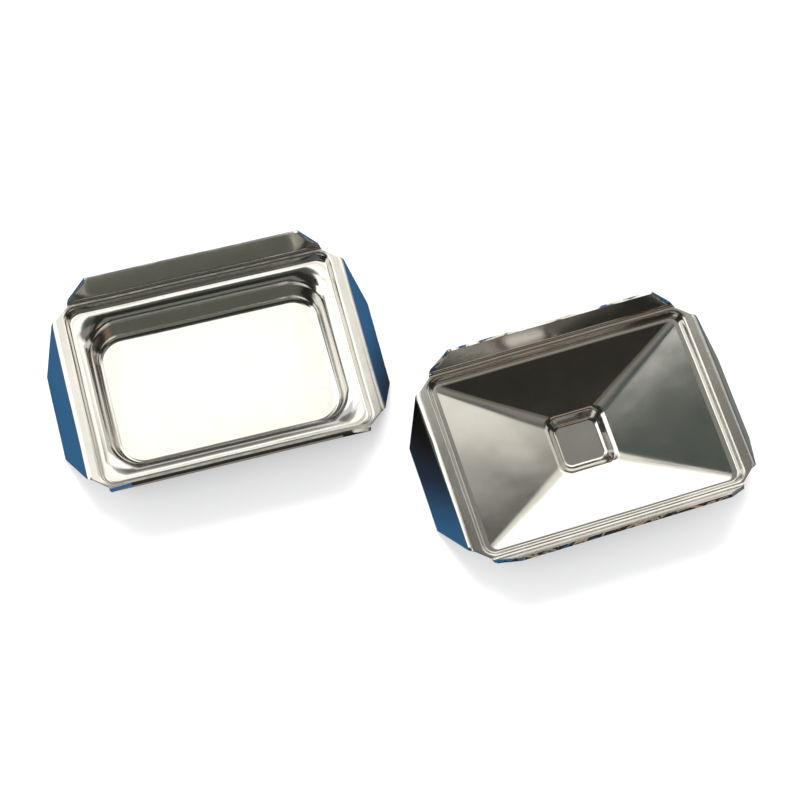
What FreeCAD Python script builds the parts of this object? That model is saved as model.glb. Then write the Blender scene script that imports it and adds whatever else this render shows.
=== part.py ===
import FreeCAD, Part
import math
import os
import Sketcher

# Two pressed stainless-steel base moulds for tissue embedding, standing side by side.
# One has a deep rounded-rectangular well, the other a pyramid funnel with a small square cup.
# Both have the same pressed rim: a flat frame with cut corners, a recessed cassette seat,
# side flaps folded up and end flaps folded down. Each tray is one sheet of steel.
# Millimetres, +Z up, z = 0 on the undersides of the wells, X along the rectangular tray.

DIMS = {
    "sheet": 0.5,
    # flat rim, in plan, out to the start of each fold
    "rim_top": 7.0,
    "rim_x": 23.2,
    "rim_y": 15.6,
    "end_base_y": 13.3,
    "side_base_x": 20.4,
    "end_relief": 0.75,
    "side_relief": 0.55,
    "corner_end_y": 13.8,
    "corner_side_x": 20.9,
    # flaps: run is outward and drop or rise is vertical, measured from the fold line
    "end_fold_radius": 0.5,
    "side_fold_radius": 0.65,
    "end_run": 2.85,
    "end_drop": 6.5,
    "end_tip_y": 7.0,
    "side_run_rect": 1.27,
    "side_rise_rect": 4.75,
    "side_run_pyramid": 1.65,
    "side_rise_pyramid": 3.4,
    "side_tip_x": 16.9,
    "trim_margin": 2.0,
    # cassette seat pressed into the rim
    "seat_top": 5.5,
    "seat_mouth_x": 21.2,
    "seat_mouth_y": 14.75,
    "seat_mouth_corner": 2.0,
    "seat_foot_x": 20.65,
    "seat_foot_y": 14.3,
    "seat_foot_corner": 1.6,
    "seat_mouth_edge": 0.5,
    "seat_foot_edge": 0.3,
    # rectangular well
    "well_mouth_x": 18.6,
    "well_mouth_y": 12.1,
    "well_mouth_corner": 4.9,
    "well_floor_x": 17.9,
    "well_floor_y": 11.0,
    "well_floor_corner": 4.3,
    "well_edge": 2.0,
    "well_foot": 1.2,
    # pyramid funnel and the square cup at its bottom
    "funnel_mouth_x": 19.9,
    "funnel_mouth_y": 13.8,
    "funnel_mouth_corner": 1.1,
    "funnel_edge": 1.0,
    "lip_top": 2.1,
    "lip_half": 4.6,
    "lip_corner": 1.7,
    "lip_edge": 1.2,
    "cup_floor_half": 3.5,
    "cup_floor_corner": 1.3,
    "cup_foot": 0.8,
    # where the pyramid tray stands
    "pyramid_x": 52.35,
    "pyramid_y": -24.0,
    "pyramid_turn": 2.8,
}

# Millimetres by which a point may miss the line or level it is tested against.
CLOSE = 1e-3
# Least volume, in cubic millimetres, that a cut has to remove.
LEAST_CUT = 0.01

doc = FreeCAD.newDocument("base_moulds")
table = doc.addObject("Spreadsheet::Sheet", "Dims")
for row, (alias, number) in enumerate(DIMS.items(), start=1):
    table.set("A%d" % row, alias)
    table.set("B%d" % row, str(number))
    table.setAlias("B%d" % row, alias)
doc.recompute()


class Size:
    """A length that knows its value and the sheet expression it comes from."""

    def __init__(self, value, text):
        self.value = value
        self.text = text

    def __add__(self, other):
        return Size(self.value + other.value, "%s + %s" % (self.text, other.text))

    def __sub__(self, other):
        return Size(self.value - other.value, "%s - (%s)" % (self.text, other.text))

    def __neg__(self):
        return Size(-self.value, "-(%s)" % self.text)

    def times(self, factor):
        return Size(self.value * factor, "(%s) * %s" % (self.text, factor))


def dim(alias):
    return Size(table.get(alias), "Dims.%s" % alias)


ZERO = Size(0.0, "0")


# ---------------------------------------------------------------- sketches

def new_sketch(body, name, role, height=ZERO):
    """Sketch on one of the body's own origin planes, raised along the plane's normal."""
    sketch = body.newObject("Sketcher::SketchObject", name)
    plane = next(item for item in body.Origin.OriginFeatures if item.Role == role)
    sketch.AttachmentSupport = [(plane, "")]
    sketch.MapMode = "FlatFace"
    sketch.setExpression("AttachmentOffset.Base.z", height.text)
    return sketch


def pin(sketch, geometry, point, across, up):
    """Fix one sketch point at bound distances from the origin."""
    for kind, size in (("DistanceX", across), ("DistanceY", up)):
        index = sketch.addConstraint(Sketcher.Constraint(kind, -1, 1, geometry, point, size.value))
        sketch.setExpression("Constraints[%d]" % index, size.text)


def add_polygon(sketch, corners):
    """Closed polygon through (across, up) pairs of Sizes."""
    points = [FreeCAD.Vector(across.value, up.value, 0) for across, up in corners]
    count = len(points)
    first = sketch.GeometryCount
    for index in range(count):
        sketch.addGeometry(Part.LineSegment(points[index], points[(index + 1) % count]), False)
    for index, (across, up) in enumerate(corners):
        after = first + (index - 1) % count
        sketch.addConstraint(Sketcher.Constraint("Coincident", after, 2, first + index, 1))
        pin(sketch, first + index, 1, across, up)


def add_rounded_rectangle(sketch, half_x, half_y, corner):
    """Rectangle about the origin with equal corner arcs."""
    signs = ((1, -1), (1, 1), (-1, 1), (-1, -1))
    radius = corner.value
    centres = [FreeCAD.Vector(sx * (half_x.value - radius), sy * (half_y.value - radius), 0)
               for sx, sy in signs]
    axis = FreeCAD.Vector(0, 0, 1)
    for index, centre in enumerate(centres):
        start = math.radians(-90 + 90 * index)
        circle = Part.Circle(centre, axis, radius)
        sketch.addGeometry(Part.ArcOfCircle(circle, start, start + math.pi / 2), False)
    for index in range(4):
        begin = sketch.getPoint(index, 2)
        end = sketch.getPoint((index + 1) % 4, 1)
        sketch.addGeometry(Part.LineSegment(begin, end), False)
    for index in range(4):
        sketch.addConstraint(Sketcher.Constraint("Tangent", index, 2, 4 + index, 1))
        sketch.addConstraint(Sketcher.Constraint("Tangent", 4 + index, 2, (index + 1) % 4, 1))
        direction = "Vertical" if index in (0, 2) else "Horizontal"
        sketch.addConstraint(Sketcher.Constraint(direction, 4 + index))
    for index in range(1, 4):
        sketch.addConstraint(Sketcher.Constraint("Equal", 0, index))
    bound = sketch.addConstraint(Sketcher.Constraint("Radius", 0, radius))
    sketch.setExpression("Constraints[%d]" % bound, corner.text)
    sides = (("DistanceX", 4, half_x), ("DistanceY", 5, half_y),
             ("DistanceX", 6, -half_x), ("DistanceY", 7, -half_y))
    for kind, line, size in sides:
        bound = sketch.addConstraint(Sketcher.Constraint(kind, -1, 1, line, 1, size.value))
        sketch.setExpression("Constraints[%d]" % bound, size.text)


# ---------------------------------------------------------------- features

def recompute(body, feature):
    """Make a feature the tip, recompute and stop if it failed."""
    body.Tip = feature
    doc.recompute()
    if "Invalid" in feature.State or "Error" in feature.State or feature.Shape.isNull():
        raise RuntimeError("%s failed: %s" % (feature.Name, feature.State))
    return feature


def pad(body, name, sketch, length, symmetric=False):
    feature = body.newObject("PartDesign::Pad", name)
    feature.Profile = sketch
    feature.SideType = "Symmetric" if symmetric else "One side"
    feature.setExpression("Length", length.text)
    return recompute(body, feature)


def cut_through(body, name, sketch):
    """Pocket through the whole body on both sides of the sketch."""
    before = body.Shape.Volume
    feature = body.newObject("PartDesign::Pocket", name)
    feature.Profile = sketch
    feature.SideType = "Symmetric"
    feature.Type = "ThroughAll"
    recompute(body, feature)
    if feature.Shape.Volume > before - LEAST_CUT:
        raise RuntimeError("%s removed nothing" % name)
    return feature


def loft(body, name, sections, hollow=False):
    """Straight-sided loft between two rounded rectangles: (half x, half y, corner, height)."""
    sketches = []
    for label, (half_x, half_y, corner, height) in zip(("mouth", "floor"), sections):
        sketch = new_sketch(body, "%s_%s" % (name, label), "XY_Plane", height)
        add_rounded_rectangle(sketch, half_x, half_y, corner)
        sketches.append(sketch)
    kind = "PartDesign::SubtractiveLoft" if hollow else "PartDesign::AdditiveLoft"
    feature = body.newObject(kind, name)
    feature.Profile = sketches[0]
    feature.Sections = [sketches[1]]
    feature.Ruled = True
    return recompute(body, feature)


def round_edges(body, name, radius, wanted):
    """Fillet every edge of the current shape that the test picks out."""
    base = body.Tip
    edges = enumerate(base.Shape.Edges, start=1)
    names = ["Edge%d" % number for number, edge in edges if wanted(edge)]
    feature = body.newObject("PartDesign::Fillet", name)
    feature.Base = (base, names)
    feature.setExpression("Radius", radius.text)
    return recompute(body, feature)


def rounded_loop(half_x, half_y, height):
    """Test for the edges of one level rounded rectangle about the tray's centre."""
    def on_loop(point):
        side = abs(abs(point.x) - half_x.value) < CLOSE and abs(point.y) < half_y.value + CLOSE
        end = abs(abs(point.y) - half_y.value) < CLOSE and abs(point.x) < half_x.value + CLOSE
        return abs(point.z - height.value) < CLOSE and (side or end)

    def wanted(edge):
        return all(on_loop(vertex.Point) for vertex in edge.Vertexes)
    return wanted


def round_loop(body, name, radius, outline, height):
    """Fillet all round one level outline, given as (half x, half y, corner)."""
    return round_edges(body, name, radius, rounded_loop(outline[0], outline[1], height))


def fold_line(axis, across, height):
    """Test for the straight fold edges that run along one axis at a given offset and height."""
    def wanted(edge):
        points = [vertex.Point for vertex in edge.Vertexes]
        offsets = [abs(point.x if axis == "y" else point.y) for point in points]
        level = all(abs(point.z - height.value) < CLOSE for point in points)
        straight = all(abs(offset - across.value) < CLOSE for offset in offsets)
        tangent = edge.tangentAt(edge.FirstParameter)
        along = abs(tangent.y if axis == "y" else tangent.x)
        return level and straight and along > 1 - CLOSE
    return wanted


# ---------------------------------------------------------------- the shared rim

def folded_strip(base, run, rise, top):
    """Edge-on outline of a strip of sheet whose two ends are folded; a negative rise folds down."""
    thick = dim("sheet")
    length = math.hypot(run.value, rise.value)
    half_fold = math.atan2(abs(rise.value), run.value) / 2
    mitre = thick.times(math.copysign(math.tan(half_fold), rise.value))
    fold_low = (base + mitre, top - thick)
    fold_top = (base, top)
    tip_top = (base + run, top + rise)
    tip_low = (base + run + thick.times(rise.value / length),
               top + rise - thick.times(run.value / length))
    right = [fold_low, tip_low, tip_top, fold_top]
    left = [(-across, up) for across, up in reversed(right)]
    return right + left, mitre


def add_folded_strip(body, name, role, base, half_width, run, rise, tight):
    """Strip of sheet across the tray, with folds at both ends rounded to a tight radius inside."""
    top = dim("rim_top")
    thick = dim("sheet")
    outline, mitre = folded_strip(base, run, rise, top)
    sketch = new_sketch(body, name + "_outline", role)
    add_polygon(sketch, outline)
    pad(body, name, sketch, half_width.times(2), symmetric=True)
    axis = "y" if role == "XZ_Plane" else "x"
    loose = tight + thick
    top_radius, low_radius = (tight, loose) if rise.value > 0 else (loose, tight)
    round_edges(body, name + "_fold_top", top_radius, fold_line(axis, base, top))
    round_edges(body, name + "_fold_low", low_radius, fold_line(axis, base + mitre, top - thick))


def trim_flap_ends(body, name, role, base, tip, rise):
    """Cut the sloping ends of a pair of flaps, seen along the direction they lean in."""
    top = dim("rim_top")
    margin = dim("trim_margin")
    sketch = new_sketch(body, name + "_outline", role)
    step = margin if rise.value > 0 else -margin
    corners = [(base, top), (tip, top + rise), (tip, top + rise + step),
               (base + margin, top + rise + step), (base + margin, top)]
    add_polygon(sketch, corners)
    add_polygon(sketch, [(-across, up) for across, up in reversed(corners)])
    cut_through(body, name, sketch)


def add_rim(body, side_run, side_rise):
    """Flat frame with cut corners, two end flaps folded down and two side flaps folded up."""
    drop = -dim("end_drop")
    end_y = dim("end_base_y")
    side_x = dim("side_base_x")
    add_folded_strip(body, "end_flaps", "XZ_Plane", dim("rim_x"), end_y, dim("end_run"), drop,
                     dim("end_fold_radius"))
    trim_flap_ends(body, "end_flap_ends", "YZ_Plane", end_y, dim("end_tip_y"), drop)
    add_folded_strip(body, "side_flaps", "YZ_Plane", dim("rim_y"), side_x, side_run, side_rise,
                     dim("side_fold_radius"))
    trim_flap_ends(body, "side_flap_ends", "XZ_Plane", side_x, dim("side_tip_x"), side_rise)
    end_x = dim("rim_x") - dim("end_relief")
    side_y = dim("rim_y") - dim("side_relief")
    quarter = [(end_x, dim("corner_end_y")), (dim("corner_side_x"), side_y)]
    mirrored = [(-across, up) for across, up in reversed(quarter)]
    upper = quarter + mirrored
    lower = [(across, -up) for across, up in reversed(upper)]
    sketch = new_sketch(body, "rim_outline", "XY_Plane", dim("rim_top") - dim("sheet"))
    add_polygon(sketch, upper + lower)
    pad(body, "rim", sketch, dim("sheet"))


def grown(prefix):
    """Half sizes and corner of a named opening, and the same grown by the sheet."""
    half_x = dim("%s_x" % prefix)
    half_y = dim("%s_y" % prefix)
    corner = dim("%s_corner" % prefix)
    thick = dim("sheet")
    return (half_x, half_y, corner), (half_x + thick, half_y + thick, corner + thick)


def add_seat_shell(body):
    """Material of the cassette seat, seen from below as a shallow box under the rim."""
    mouth = grown("seat_mouth")[1]
    foot = grown("seat_foot")[1]
    loft(body, "seat_shell", [mouth + (dim("rim_top"),), foot + (dim("seat_top") - dim("sheet"),)])
    return foot


def cut_seat(body):
    """Recess the cassette drops into."""
    mouth = grown("seat_mouth")[0]
    foot = grown("seat_foot")[0]
    high = dim("rim_top")
    low = dim("seat_top")
    loft(body, "seat", [mouth + (high,), foot + (low,)], hollow=True)
    round_loop(body, "seat_mouth_edge", dim("seat_mouth_edge"), mouth, high)
    round_loop(body, "seat_foot_edge", dim("seat_foot_edge"), foot, low)


# ---------------------------------------------------------------- the two trays

def make_rectangular_tray():
    """Tray with one deep rounded-rectangular well."""
    body = doc.addObject("PartDesign::Body", "rectangular_well_tray")
    body.Label = "rectangular_well_tray"
    thick = dim("sheet")
    ledge_low = dim("seat_top") - thick
    mouth, mouth_out = grown("well_mouth")
    floor, floor_out = grown("well_floor")
    add_rim(body, dim("side_run_rect"), dim("side_rise_rect"))
    seat_out = add_seat_shell(body)
    loft(body, "well_shell", [mouth_out + (ledge_low,), floor_out + (ZERO,)])
    cut_seat(body)
    loft(body, "well", [mouth + (dim("seat_top"),), floor + (thick,)], hollow=True)
    round_loop(body, "well_edge", dim("well_edge"), mouth, dim("seat_top"))
    round_loop(body, "well_foot", dim("well_foot"), floor, thick)
    round_loop(body, "seat_low", dim("seat_foot_edge") + thick, seat_out, ledge_low)
    round_loop(body, "well_neck", dim("well_edge") - thick, mouth_out, ledge_low)
    round_loop(body, "well_low", dim("well_foot") + thick, floor_out, ZERO)
    return body


def make_pyramid_tray():
    """Tray whose four facets slope down to one small square cup."""
    body = doc.addObject("PartDesign::Body", "pyramid_well_tray")
    body.Label = "pyramid_well_tray"
    thick = dim("sheet")
    ledge_low = dim("seat_top") - thick
    mouth = (dim("funnel_mouth_x"), dim("funnel_mouth_y"), dim("funnel_mouth_corner"))
    lip = (dim("lip_half"), dim("lip_half"), dim("lip_corner"))
    lip_out = (lip[0] + thick, lip[1] + thick, lip[2] + thick)
    floor = (dim("cup_floor_half"), dim("cup_floor_half"), dim("cup_floor_corner"))
    floor_out = (floor[0] + thick, floor[1] + thick, floor[2] + thick)
    add_rim(body, dim("side_run_pyramid"), dim("side_rise_pyramid"))
    seat_out = add_seat_shell(body)
    loft(body, "funnel_shell", [mouth + (ledge_low,), lip + (dim("lip_top") - thick,)])
    loft(body, "cup_shell", [lip_out + (dim("lip_top"),), floor_out + (ZERO,)])
    cut_seat(body)
    loft(body, "funnel", [mouth + (dim("seat_top"),), lip + (dim("lip_top"),)], hollow=True)
    loft(body, "cup", [lip + (dim("lip_top"),), floor + (thick,)], hollow=True)
    round_loop(body, "funnel_edge", dim("funnel_edge"), mouth, dim("seat_top"))
    round_loop(body, "lip_edge", dim("lip_edge"), lip, dim("lip_top"))
    round_loop(body, "cup_foot", dim("cup_foot"), floor, thick)
    round_loop(body, "seat_low", dim("seat_foot_edge") + thick, seat_out, ledge_low)
    round_loop(body, "cup_low", dim("cup_foot") + thick, floor_out, ZERO)
    place = FreeCAD.Vector(dim("pyramid_x").value, dim("pyramid_y").value, 0)
    turn = FreeCAD.Rotation(FreeCAD.Vector(0, 0, 1), dim("pyramid_turn").value)
    body.Placement = FreeCAD.Placement(place, turn)
    return body


trays = [make_rectangular_tray(), make_pyramid_tray()]
doc.recompute()

for item in doc.Objects:
    if "Invalid" in item.State or "Error" in item.State:
        raise RuntimeError("%s is %s" % (item.Name, item.State))
for tray in trays:
    if tray.Shape.isNull() or not tray.Shape.isValid() or len(tray.Shape.Solids) != 1:
        raise RuntimeError("%s is not one valid solid" % tray.Label)
os.makedirs("parts", exist_ok=True)
for tray in trays:
    tray.Shape.exportStep("parts/%s.step" % tray.Label)
    box = tray.Shape.BoundBox
    lowest = (box.XMin, box.YMin, box.ZMin)
    highest = (box.XMax, box.YMax, box.ZMax)
    print(tray.Label, [round(size, 2) for size in lowest + highest])
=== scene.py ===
import math

import bmesh
import bpy
from mathutils import Matrix, Quaternion, Vector, noise


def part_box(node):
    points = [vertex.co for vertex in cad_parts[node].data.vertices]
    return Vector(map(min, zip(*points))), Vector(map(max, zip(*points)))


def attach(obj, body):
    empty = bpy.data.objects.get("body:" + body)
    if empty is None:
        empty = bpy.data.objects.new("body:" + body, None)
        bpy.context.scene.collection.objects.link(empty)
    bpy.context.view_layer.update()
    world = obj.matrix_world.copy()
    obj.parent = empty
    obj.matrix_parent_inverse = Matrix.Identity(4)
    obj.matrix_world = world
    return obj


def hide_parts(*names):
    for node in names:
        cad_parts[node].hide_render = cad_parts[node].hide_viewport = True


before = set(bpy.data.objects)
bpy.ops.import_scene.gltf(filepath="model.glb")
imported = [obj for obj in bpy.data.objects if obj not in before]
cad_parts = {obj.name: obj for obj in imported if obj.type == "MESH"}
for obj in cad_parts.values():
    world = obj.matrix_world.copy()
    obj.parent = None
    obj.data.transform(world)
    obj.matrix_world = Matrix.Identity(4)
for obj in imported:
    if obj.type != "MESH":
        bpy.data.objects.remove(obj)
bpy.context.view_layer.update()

MM = 0.001

# ---------------------------------------------------------------- sizes, in millimetres

SHEET = 0.5
RIM_TOP = 7.0
RIM_X = 23.2
RIM_Y = 15.6
END_BASE_Y = 13.3
SIDE_BASE_X = 20.4
END_TIP_Y = 7.0
SIDE_TIP_X = 16.9
END_RUN = 2.85
END_DROP = 6.5
SIDE_FOLD = 0.65
END_FOLD = 1.0
SEAT_FOOT = (20.65, 14.3, 1.6, 5.5)
SEAT_MOUTH = (21.2, 14.75, 2.0, RIM_TOP)
PYRAMID_TURN = math.radians(2.8)

# Middle of the bench's shaded spot, in metres.
SHADED_SPOT = (0.019, -0.014, 0.0)

# Each tray: rounded rectangles (half x, half y, corner, height) from the floor outward, the
# rounding at each, and how far the wall between two of them bellies downward.
RECTANGULAR = {
    "inside": (16.2, 9.2, 2.5, 0.5),
    "rings": [(17.9, 11.0, 4.3, 0.5), (18.6, 12.1, 4.9, 5.5), SEAT_FOOT, SEAT_MOUTH],
    "rounding": [1.2, 2.0, 0.3, 0.5],
    "wall_rows": [4, 3, 2, 4],
    "belly": [0.0, 0.0, 0.0, 0.0],
    "side_run": 1.27,
    "side_rise": 4.75,
    "scuff_and_shade": (1.0, 0.15),
    "seed": Vector((3.1, 7.7, 1.3)),
}
PYRAMID = {
    "inside": (2.6, 2.6, 0.4, 0.5),
    "rings": [(3.5, 3.5, 1.3, 0.5), (4.6, 4.6, 1.7, 2.1), (19.9, 13.8, 1.1, 5.5), SEAT_FOOT, SEAT_MOUTH],
    "rounding": [0.8, 1.2, 1.0, 0.3, 0.5],
    "wall_rows": [3, 22, 2, 2, 4],
    "belly": [0.0, 0.12, 0.0, 0.0, 0.0],
    "side_run": 1.65,
    "side_rise": 3.4,
    "scuff_and_shade": (0.26, 0.39),
    "seed": Vector((21.4, 2.9, 5.6)),
}

SIDE_STEPS = (36, 52, 36, 52)
CORNER_STEPS = 12
FILLET_STEPS = 8
FOLD_STEPS = 8
# Most of a straight run that one rounding may take up.
MOST_SHARE = 0.9
# Length of flat rim, in millimetres, that a fold's rounding can draw on.
FLAT_BEFORE_FOLD = 3.0
# Height of the scuffing and painted shade on each side of the rim's crest, and where the long sides' share of
# it sets in.
SCUFF_AND_SHADE_DEPTH = 0.30
SCUFF_AND_SHADE_FROM = 14.2
SCUFF_AND_SHADE_BLEND = 0.5
# How far the flaps stop short of the solid's outline, in millimetres, to leave room for the ripple.
SHY = 0.06
FLOOR_ROWS = 10


# ---------------------------------------------------------------- the trays' meshes

def ring_point(side, along, turn, ring):
    """Point on a rounded rectangle: on a straight side, or part-way round the corner after it."""
    half_x, half_y, corner, height = ring
    flat_x, flat_y = half_x - corner, half_y - corner
    if turn is None:
        x, y = ((half_x, along * flat_y), (-along * flat_x, half_y),
                (-half_x, -along * flat_y), (along * flat_x, -half_y))[side]
        return Vector((x, y, height))
    sign_x, sign_y = ((1, 1), (-1, 1), (-1, -1), (1, -1))[side]
    angle = math.radians(90 * side + 90 * turn)
    return Vector((sign_x * flat_x + corner * math.cos(angle),
                   sign_y * flat_y + corner * math.sin(angle), height))


def columns():
    """Every radial line of the mesh, anticlockwise: (side, position along it, turn round the corner)."""
    lines = []
    for side, steps in enumerate(SIDE_STEPS):
        lines += [(side, -1 + 2 * step / steps, None) for step in range(steps + 1)]
        lines += [(side, 1.0, step / CORNER_STEPS) for step in range(1, CORNER_STEPS)]
    return lines


def rounding_shares(before, corner, after, radius):
    """Shares of the two runs that a fillet takes up, and the weight of its conic."""
    back = before - corner
    ahead = after - corner
    half_turn = (math.pi - back.angle(ahead)) / 2
    reach = min(radius * math.tan(half_turn), MOST_SHARE * min(back.length, ahead.length))
    return Vector((reach / back.length, reach / ahead.length, math.cos(half_turn)))


def arc_points(before, corner, after, shares, steps=FILLET_STEPS):
    """Points of the arc that rounds one corner of a bent line."""
    start = corner.lerp(before, shares.x)
    end = corner.lerp(after, shares.y)
    points = []
    for step in range(steps + 1):
        s = step / steps
        blend = ((1 - s) ** 2, 2 * shares.z * s * (1 - s), s * s)
        points.append((start * blend[0] + corner * blend[1] + end * blend[2]) / sum(blend))
    return points


def between(start, end, rows, sag=0.0):
    """Points between two places, with one close to each end so that shading stays flat."""
    length = (end - start).length
    close = min(0.06 / max(length, 1e-6), 0.12)
    shares = [close] + [close + (1 - 2 * close) * row / (rows + 1) for row in range(1, rows + 1)] + [1 - close]
    points = [start.lerp(end, share) for share in shares]
    for point, share in zip(points, shares):
        point.z -= sag * math.sin(math.pi * share)
    return points


def flap_profile(run, rise, radius):
    """Bent line of a flap seen edge-on, as (out, up) from the fold line."""
    rim = Vector((-FLAT_BEFORE_FOLD, 0, 0))
    fold = Vector((0, 0, 0))
    tip = Vector((run, 0, rise))
    bend = arc_points(rim, fold, tip, rounding_shares(rim, fold, tip, radius), FOLD_STEPS)
    return bend + between(bend[-1], tip, 6) + [tip]


def flap_point(side, along, out, up, rise):
    """Point of a flap: across its width, out from the fold and up or down from the rim."""
    share = min(max(up / rise, 0.0), 1.0)
    if side in (0, 2):
        width = END_BASE_Y + (END_TIP_Y - END_BASE_Y) * share
        sign = 1 if side == 0 else -1
        return Vector((sign * (RIM_X + out), sign * along * width, RIM_TOP + up))
    width = SIDE_BASE_X + (SIDE_TIP_X - SIDE_BASE_X) * share
    sign = 1 if side == 1 else -1
    return Vector((-sign * along * width, sign * (RIM_Y + out), RIM_TOP + up))


def ripple(point, seed):
    """Small unevenness of pressed sheet: long soft waves and a little short-range unrest."""
    flat = 0.25 if point.z < 0.7 else 1.0
    long_wave = noise.noise_vector((point + seed) * 0.11)
    short_wave = noise.noise_vector((point + seed * 2) * 0.42)
    shift = long_wave * 0.07 + short_wave * 0.005
    shift.z *= flat * 0.8
    if point.z < 0.7:
        shift.z = abs(shift.z)
    return point + shift


def scuff_and_painted_shade(point, sides, ends):
    """How scuffed and how darkened by painted shade the sheet is here, 0 to 1: the rim's crest, by the long
    sides' and the ends' own share.
    """
    crest = max(0.0, 1 - abs(point.z - RIM_TOP) / SCUFF_AND_SHADE_DEPTH)
    along_side = min(max((abs(point.y) - SCUFF_AND_SHADE_FROM) / SCUFF_AND_SHADE_BLEND, 0.0), 1.0)
    return crest * (ends + (sides - ends) * along_side)


def pressed_sheet(name, tray):
    """Top face of one tray as a single quad sheet, then its thickness and broken edges."""
    lines = columns()
    count = len(lines)
    profiles = {}
    for side in range(4):
        if side in (0, 2):
            run, rise, radius = END_RUN - SHY, SHY - END_DROP, END_FOLD
        else:
            run, rise, radius = tray["side_run"] - SHY, tray["side_rise"] - SHY, SIDE_FOLD
        profiles[side] = (rise, flap_profile(run, rise, radius))
    mesh = bmesh.new()
    # Per-vertex amount of scuffing and painted shade on the rim's crest.
    wear_and_shade = mesh.verts.layers.float.new("wear_and_shade")
    seed = tray["seed"]

    def add(point):
        vertex = mesh.verts.new(ripple(point, seed) * MM)
        vertex[wear_and_shade] = scuff_and_painted_shade(point, *tray["scuff_and_shade"])
        return vertex

    def rim_end(side, along, turn):
        rise, profile = profiles[side]
        if turn is None:
            return flap_point(side, along, profile[0].x, profile[0].z, rise)
        after = (side + 1) % 4
        here = flap_point(side, 1.0, profile[0].x, profile[0].z, rise)
        there = flap_point(after, -1.0, profiles[after][1][0].x, 0.0, profiles[after][0])
        return here.lerp(there, turn)

    def stations_of(side, along, turn):
        rings = [tray["inside"]] + tray["rings"]
        return [ring_point(side, along, turn, ring) for ring in rings] + [rim_end(side, along, turn)]

    # Shares at the middle of an end and of a long side; the corners between them blend the two.
    middles = []
    for side in (0, 1):
        places = stations_of(side, 0.0, None)
        middles.append([rounding_shares(*places[i:i + 3], radius) for i, radius in enumerate(tray["rounding"])])

    rows_per_line = []
    for side, along, turn in lines:
        stations = stations_of(side, along, turn)
        here, there = middles[side % 2], middles[(side + 1) % 2]
        arcs = []
        for index in range(len(tray["rounding"])):
            shares = here[index].lerp(there[index], turn or 0.0)
            arcs.append(arc_points(*stations[index:index + 3], shares))
        centre = Vector((0, 0, stations[0].z))
        line = [centre.lerp(arcs[0][0], (row / FLOOR_ROWS) ** 0.85) for row in range(1, FLOOR_ROWS)]
        line.append(centre.lerp(arcs[0][0], 0.995))
        for index, arc in enumerate(arcs):
            line += arc
            target = arcs[index + 1][0] if index + 1 < len(arcs) else stations[-1]
            line += between(arc[-1], target, tray["wall_rows"][index], tray["belly"][index])
        line.append(stations[-1])
        rows_per_line.append([add(point) for point in line])

    pole = add(Vector((0, 0, tray["inside"][3])))
    for index in range(count):
        here, there = rows_per_line[index], rows_per_line[(index + 1) % count]
        mesh.faces.new((pole, here[0], there[0]))
        for row in range(len(here) - 1):
            mesh.faces.new((here[row], here[row + 1], there[row + 1], there[row]))

    for side in range(4):
        rise, profile = profiles[side]
        members = [index for index, line in enumerate(lines) if line[0] == side and line[2] is None]
        strips = []
        for index in members:
            along = lines[index][1]
            strip = [rows_per_line[index][-1]]
            strip += [add(flap_point(side, along, p.x, p.z, rise)) for p in profile[1:]]
            strips.append(strip)
        for here, there in zip(strips, strips[1:]):
            for row in range(len(here) - 1):
                mesh.faces.new((here[row], here[row + 1], there[row + 1], there[row]))

    bmesh.ops.recalc_face_normals(mesh, faces=mesh.faces)
    data = bpy.data.meshes.new(name)
    mesh.to_mesh(data)
    mesh.free()
    if sum(face.normal.z for face in data.polygons) < 0:
        data.flip_normals()
    for face in data.polygons:
        face.use_smooth = True
    piece = bpy.data.objects.new(name, data)
    bpy.context.scene.collection.objects.link(piece)
    thick = piece.modifiers.new("thickness", "SOLIDIFY")
    thick.thickness = SHEET * MM
    thick.offset = -1
    thick.use_even_offset = True
    thick.use_quality_normals = True
    edge = piece.modifiers.new("sheared_edge", "BEVEL")
    edge.width = 0.09 * MM
    edge.segments = 3
    edge.limit_method = "ANGLE"
    edge.angle_limit = math.radians(50)
    weighted = piece.modifiers.new("shading", "WEIGHTED_NORMAL")
    weighted.keep_sharp = False
    weighted.weight = 60
    return piece


# ---------------------------------------------------------------- materials

def node(tree, kind, **settings):
    made = tree.nodes.new(kind)
    for key, value in settings.items():
        setattr(made, key, value)
    return made


def scaled_position(tree, scale):
    """Object-space position in units of 1 / scale metres, stretched per axis."""
    source = node(tree, "ShaderNodeTexCoord")
    mapping = node(tree, "ShaderNodeMapping")
    mapping.inputs["Scale"].default_value = scale
    tree.links.new(source.outputs["Object"], mapping.inputs["Vector"])
    return mapping.outputs["Vector"]


def noise_value(tree, scale, frequency, detail=4.0, roughness=0.55):
    texture = node(tree, "ShaderNodeTexNoise")
    texture.inputs["Scale"].default_value = frequency
    texture.inputs["Detail"].default_value = detail
    texture.inputs["Roughness"].default_value = roughness
    tree.links.new(scaled_position(tree, scale), texture.inputs["Vector"])
    return texture.outputs["Fac"]


def ramp(tree, value, stops):
    made = node(tree, "ShaderNodeValToRGB")
    elements = made.color_ramp.elements
    while len(elements) < len(stops):
        elements.new(0.5)
    for element, (position, colour) in zip(elements, stops):
        element.position = position
        element.color = (*colour, 1.0) if len(colour) == 3 else colour
    tree.links.new(value, made.inputs["Fac"])
    return made.outputs["Color"]


def remap(tree, value, low, high, to_low, to_high):
    made = node(tree, "ShaderNodeMapRange")
    made.inputs["From Min"].default_value = low
    made.inputs["From Max"].default_value = high
    made.inputs["To Min"].default_value = to_low
    made.inputs["To Max"].default_value = to_high
    tree.links.new(value, made.inputs["Value"])
    return made.outputs["Result"]


def maths(tree, operation, first, second):
    made = node(tree, "ShaderNodeMath", operation=operation)
    for socket, value in zip(made.inputs, (first, second)):
        if isinstance(value, (int, float)):
            socket.default_value = value
        else:
            tree.links.new(value, socket)
    return made.outputs["Value"]


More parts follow.
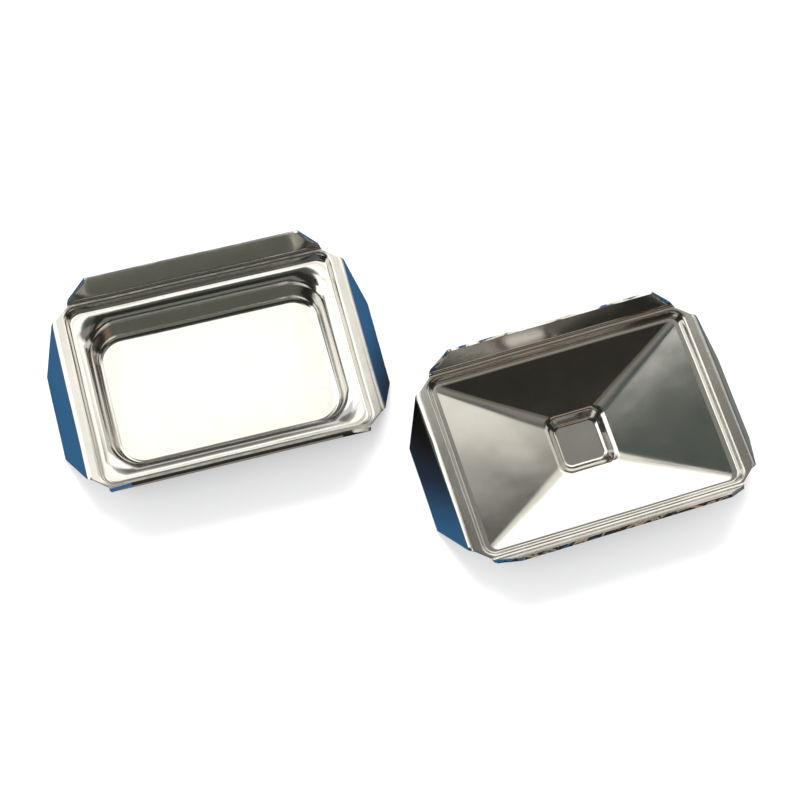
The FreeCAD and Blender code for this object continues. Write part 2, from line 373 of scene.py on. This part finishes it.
def pressed_steel():
    """Bright pressed stainless steel: soft haze, rolling grain, rubbed smudges, hairline scratches, and a rim
    crest darkened by scuffing and painted shade.
    """
    material = bpy.data.materials.new("pressed_steel")
    material.use_nodes = True
    tree = material.node_tree
    shader = tree.nodes["Principled BSDF"]
    shader.inputs["Metallic"].default_value = 1.0
    shader.inputs["IOR"].default_value = 2.5
    cloud = noise_value(tree, (1000, 1000, 1000), 0.16, 5.0, 0.6)
    smudge = noise_value(tree, (1000, 1000, 1000), 0.6, 6.0, 0.65)
    grain = noise_value(tree, (1000, 1000, 1000), 0.5, 0.0, 0.5)
    hair_one = noise_value(tree, (700, 9000, 4000), 0.55, 1.0, 0.4)
    hair_two = noise_value(tree, (6500, 900, 3000), 0.5, 1.0, 0.4)
    colour = ramp(tree, cloud, [(0.3, (0.60, 0.588, 0.56)), (0.7, (0.65, 0.64, 0.615))])
    haze = remap(tree, cloud, 0.35, 0.7, 0.0, 0.018)
    rubbed = remap(tree, smudge, 0.5, 0.75, 0.0, 0.022)
    scratch = maths(tree, "ADD", remap(tree, hair_one, 0.72, 0.77, 0.0, 0.04),
                    remap(tree, hair_two, 0.73, 0.78, 0.0, 0.04))
    mottle = remap(tree, noise_value(tree, (1000, 1000, 1000), 0.8, 2.0, 0.5), 0.35, 0.65, 0.19, 0.29)
    # The rim's crest turns rougher and darker brown: part scuffing, part painted shade.
    wear_and_shade_input = node(tree, "ShaderNodeAttribute", attribute_name="wear_and_shade")
    scuff_and_shade_amount = maths(tree, "MULTIPLY", wear_and_shade_input.outputs["Fac"], mottle)
    # Mix towards dark brown on the crest: painted shade together with scuffing.
    dulled_and_shaded = node(tree, "ShaderNodeMix", data_type="RGBA")
    tree.links.new(maths(tree, "MULTIPLY", scuff_and_shade_amount, 2.6), dulled_and_shaded.inputs["Factor"])
    tree.links.new(colour, dulled_and_shaded.inputs["A"])
    dulled_and_shaded.inputs["B"].default_value = (0.20, 0.188, 0.165, 1.0)
    tree.links.new(dulled_and_shaded.outputs["Result"], shader.inputs["Base Color"])
    polish = maths(tree, "ADD", maths(tree, "ADD", haze, rubbed), maths(tree, "ADD", scratch, 0.13))
    tree.links.new(maths(tree, "ADD", polish, scuff_and_shade_amount), shader.inputs["Roughness"])
    bump = node(tree, "ShaderNodeBump")
    bump.inputs["Strength"].default_value = 0.05
    bump.inputs["Distance"].default_value = 0.00003
    tree.links.new(grain, bump.inputs["Height"])
    tree.links.new(bump.outputs["Normal"], shader.inputs["Normal"])
    return material


def matt(name, colour, roughness=0.9):
    material = bpy.data.materials.new(name)
    material.use_nodes = True
    shader = material.node_tree.nodes["Principled BSDF"]
    shader.inputs["Base Color"].default_value = (*colour, 1.0)
    shader.inputs["Roughness"].default_value = roughness
    shader.inputs["Specular IOR Level"].default_value = 0.2
    return material


def glow(name, colour, strength, fade=None):
    """Emission, fading across the card's own length where fade gives (axis, from, to) in metres."""
    material = bpy.data.materials.new(name)
    material.use_nodes = True
    tree = material.node_tree
    tree.nodes.clear()
    output = node(tree, "ShaderNodeOutputMaterial")
    emission = node(tree, "ShaderNodeEmission")
    emission.inputs["Color"].default_value = (*colour, 1.0)
    emission.inputs["Strength"].default_value = strength
    if fade:
        axis, low, high, weakest = fade
        source = node(tree, "ShaderNodeTexCoord")
        split = node(tree, "ShaderNodeSeparateXYZ")
        tree.links.new(source.outputs["Object"], split.inputs["Vector"])
        level = remap(tree, split.outputs[axis], low, high, weakest * strength, strength)
        tree.links.new(level, emission.inputs["Strength"])
    tree.links.new(emission.outputs["Emission"], output.inputs["Surface"])
    return material


def blue_bench():
    """Blue bench top, nearly black where the two trays stand close and shade it."""
    material = matt("blue_bench", (0.018, 0.085, 0.19), 0.8)
    tree = material.node_tree
    source = node(tree, "ShaderNodeTexCoord")
    distance = node(tree, "ShaderNodeVectorMath", operation="DISTANCE")
    distance.inputs[1].default_value = SHADED_SPOT
    tree.links.new(source.outputs["Object"], distance.inputs[0])
    share = remap(tree, distance.outputs["Value"], 0.004, 0.019, 0.0, 1.0)
    colour = ramp(tree, share, [(0.0, (0.010, 0.010, 0.012)), (0.45, (0.010, 0.020, 0.040)), (1.0, (0.018, 0.085, 0.19))])
    tree.links.new(colour, material.node_tree.nodes["Principled BSDF"].inputs["Base Color"])
    return material


# ---------------------------------------------------------------- staging

def stage_mesh(name, corners, material, only_reflected=False):
    data = bpy.data.meshes.new(name)
    data.from_pydata([Vector(corner) for corner in corners], [], [tuple(range(len(corners)))])
    data.materials.append(material)
    card = bpy.data.objects.new(name, data)
    bpy.context.scene.collection.objects.link(card)
    if only_reflected:
        card.visible_camera = False
        card.visible_diffuse = False
        card.visible_transmission = False
        card.visible_volume_scatter = False
        card.visible_shadow = False
    return card


def level_card(name, x, y, z, material):
    """Horizontal card over the trays, given by its ranges in metres."""
    corners = [(x[0], y[0], z), (x[0], y[1], z), (x[1], y[1], z), (x[1], y[0], z)]
    return stage_mesh(name, corners, material, only_reflected=True)


def area_light(name, place, target, size, power, colour=(1, 1, 1), reflected=False):
    data = bpy.data.lights.new(name, "AREA")
    data.shape = "RECTANGLE"
    data.size, data.size_y = size
    data.energy = power
    data.color = colour
    lamp = bpy.data.objects.new(name, data)
    bpy.context.scene.collection.objects.link(lamp)
    lamp.location = place
    lamp.rotation_euler = (Vector(target) - Vector(place)).to_track_quat("-Z", "Y").to_euler()
    lamp.visible_glossy = reflected
    return lamp


def make_trays(material):
    rectangular = pressed_sheet("rectangular_tray_sheet", RECTANGULAR)
    rectangular.data.materials.append(material)
    pyramid = pressed_sheet("pyramid_tray_sheet", PYRAMID)
    pyramid.data.materials.append(material)
    low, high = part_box("pyramid_well_tray")
    middle = (low + high) / 2
    place = Matrix.Translation((middle.x, middle.y, 0)) @ Matrix.Rotation(PYRAMID_TURN, 4, "Z")
    pyramid.data.transform(place)
    for piece, cad, body in ((rectangular, "rectangular_well_tray", "rectangular_tray"),
                             (pyramid, "pyramid_well_tray", "pyramid_tray")):
        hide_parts(cad)
        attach(piece, body)


def upright_card(name, start, end, low, high, material):
    """Vertical card between two (x, y) places, in metres."""
    corners = [(*start, low), (*end, low), (*end, high), (*start, high)]
    return stage_mesh(name, corners, material, only_reflected=True)


def make_reflections():
    """Cards that only the steel sees: white behind and to the left, dark in front, grey over the right."""
    white = glow("white_card", (1.0, 0.99, 0.94), 1.9)
    bright = glow("bright_card", (1.0, 0.985, 0.93), 2.2)
    cream = glow("cream_card", (1.0, 0.97, 0.90), 1.35)
    half_bright = glow("half_bright_card", (1.0, 0.97, 0.88), 0.85)
    taupe = glow("taupe_card", (1.0, 0.96, 0.88), 0.45)
    shade = glow("shade_card", (1.0, 0.95, 0.86), 0.22)
    brown = glow("brown_card", (1.0, 0.90, 0.74), 0.20)
    pale_blue = glow("pale_blue_card", (0.97, 0.98, 1.0), 0.90)
    grey = glow("grey_card", (1.0, 0.98, 0.90), 0.32)
    green_grey = glow("green_grey_card", (0.85, 1.0, 0.88), 0.11)
    side = glow("side_card", (1.0, 0.97, 0.88), 1.2, ("Y", 0.040, 0.067, 0.11))
    tan = glow("tan_card", (1.0, 0.74, 0.54), 0.5)
    dark = glow("dark_card", (1.0, 0.95, 0.80), 0.035)
    dusk = glow("dusk_card", (0.95, 1.0, 0.85), 0.24)
    level_card("white_over_well", (-0.0208, 0.0407), (0.0500, 0.1034), 0.1995, white)
    level_card("taupe_behind_well", (-0.0183, 0.0417), (0.1034, 0.1529), 0.1995, taupe)
    level_card("cream_over_left", (-0.1643, 0.0557), (0.0487, 0.1529), 0.200, cream)
    level_card("white_far_left", (-0.0523, -0.0163), (0.0179, 0.0524), 0.200, white)
    level_card("bright_left", (-0.1643, -0.0523), (0.0179, 0.1529), 0.1993, bright)
    level_card("pale_blue_back_left", (-0.1643, 0.0757), (0.1529, 0.4229), 0.200, pale_blue)
    level_card("brown_back_left", (-0.0343, 0.0457), (0.1529, 0.4229), 0.199, shade)
    level_card("shade_under_rectangular", (-0.0245, 0.0165), (-0.020, 0.0165), 0.0004, shade)
    level_card("shade_under_pyramid", (0.0305, 0.0900), (-0.0445, -0.0075), 0.0004, shade)
    level_card("white_back_right", (0.0577, 0.2957), (0.1029, 0.4229), 0.199, white)
    level_card("white_behind_pyramid", (0.0577, 0.1457), (0.0689, 0.1729), 0.1995, cream)
    level_card("brown_by_pyramid", (0.0557, 0.1557), (-0.0721, -0.0271), 0.2005, brown)
    level_card("grey_over_right", (0.0557, 0.1477), (-0.0271, 0.1729), 0.201, grey)
    level_card("green_grey_middle", (-0.0163, 0.0557), (-0.0271, 0.0524), 0.202, green_grey)
    level_card("side_over_right", (0.1477, 0.2957), (-0.0271, 0.1729), 0.200, side)
    level_card("tan_in_front", (0.0707, 0.1857), (-0.2671, -0.1471), 0.199, tan)
    level_card("dusk_in_front", (-0.1643, 0.0707), (-0.4171, -0.1571), 0.200, dusk)
    level_card("dark_in_front", (-0.1643, 0.2957), (-0.4171, -0.0271), 0.203, dark)
    upright_card("wall_back_right", (0.080, 0.42), (0.30, 0.42), 0.03, 0.20, cream)
    upright_card("wall_back_left", (-0.16, 0.42), (0.080, 0.42), 0.03, 0.20, pale_blue)
    upright_card("wall_left", (-0.16, -0.02), (-0.16, 0.42), 0.03, 0.20, white)
    upright_card("wall_right", (0.30, -0.03), (0.30, 0.42), 0.03, 0.20, half_bright)
    room = glow("dark_room", (1.0, 0.96, 0.85), 0.035)
    corners = [(-1.4, -1.4), (1.4, -1.4), (1.4, 1.4), (-1.4, 1.4)]
    for index in range(4):
        upright_card("room_wall_%d" % index, corners[index], corners[(index + 1) % 4], -0.1, 1.2, room)
    level_card("room_ceiling", (-1.4, 1.4), (-1.4, 1.4), 1.2, room)


def make_stage():
    pale = matt("pale_floor", (0.86, 0.86, 0.86))
    stage_mesh("floor", [(-3, -3, 0), (3, -3, 0), (3, 3, 0), (-3, 3, 0)], pale)
    low = 0.0002
    bench = [(-1.3, -1.3, low), (1.3, -1.3, low), (1.3, 1.3, low), (-1.3, 1.3, low)]
    stage_mesh("reflected_bench", bench, blue_bench(), True)
    area_light("key", (0.10, 0.55, 0.80), (0.03, -0.01, 0), (0.7, 0.5), 9.0)
    area_light("fill", (-0.35, -0.50, 0.75), (0.03, -0.01, 0), (0.9, 0.9), 7.0)
    world = bpy.data.worlds.new("studio") if bpy.context.scene.world is None else bpy.context.scene.world
    bpy.context.scene.world = world
    world.use_nodes = True
    back_node = world.node_tree.nodes["Background"]
    back_node.inputs["Color"].default_value = (1.0, 1.0, 1.0, 1.0)
    back_node.inputs["Strength"].default_value = 0.75
    bpy.context.scene.view_settings.view_transform = "Standard"


def make_camera():
    azimuth, elevation, roll = math.radians(-22.47), math.radians(69.69), math.radians(7.84)
    target = Vector((26.12, -11.68, 5.0)) * MM
    distance = 0.3114
    away = Vector((math.cos(elevation) * math.sin(azimuth), -math.cos(elevation) * math.cos(azimuth), math.sin(elevation)))
    data = bpy.data.cameras.new("camera")
    data.sensor_width = 36.0
    data.lens = 90.33
    data.clip_start = 0.01
    camera = bpy.data.objects.new("camera", data)
    bpy.context.scene.collection.objects.link(camera)
    camera.location = target + away * distance
    level = (-away).to_track_quat("-Z", "Y")
    camera.rotation_euler = (level @ Quaternion((0, 0, 1), roll)).to_euler()
    bpy.context.scene.camera = camera


make_trays(pressed_steel())
make_stage()
make_reflections()
make_camera()
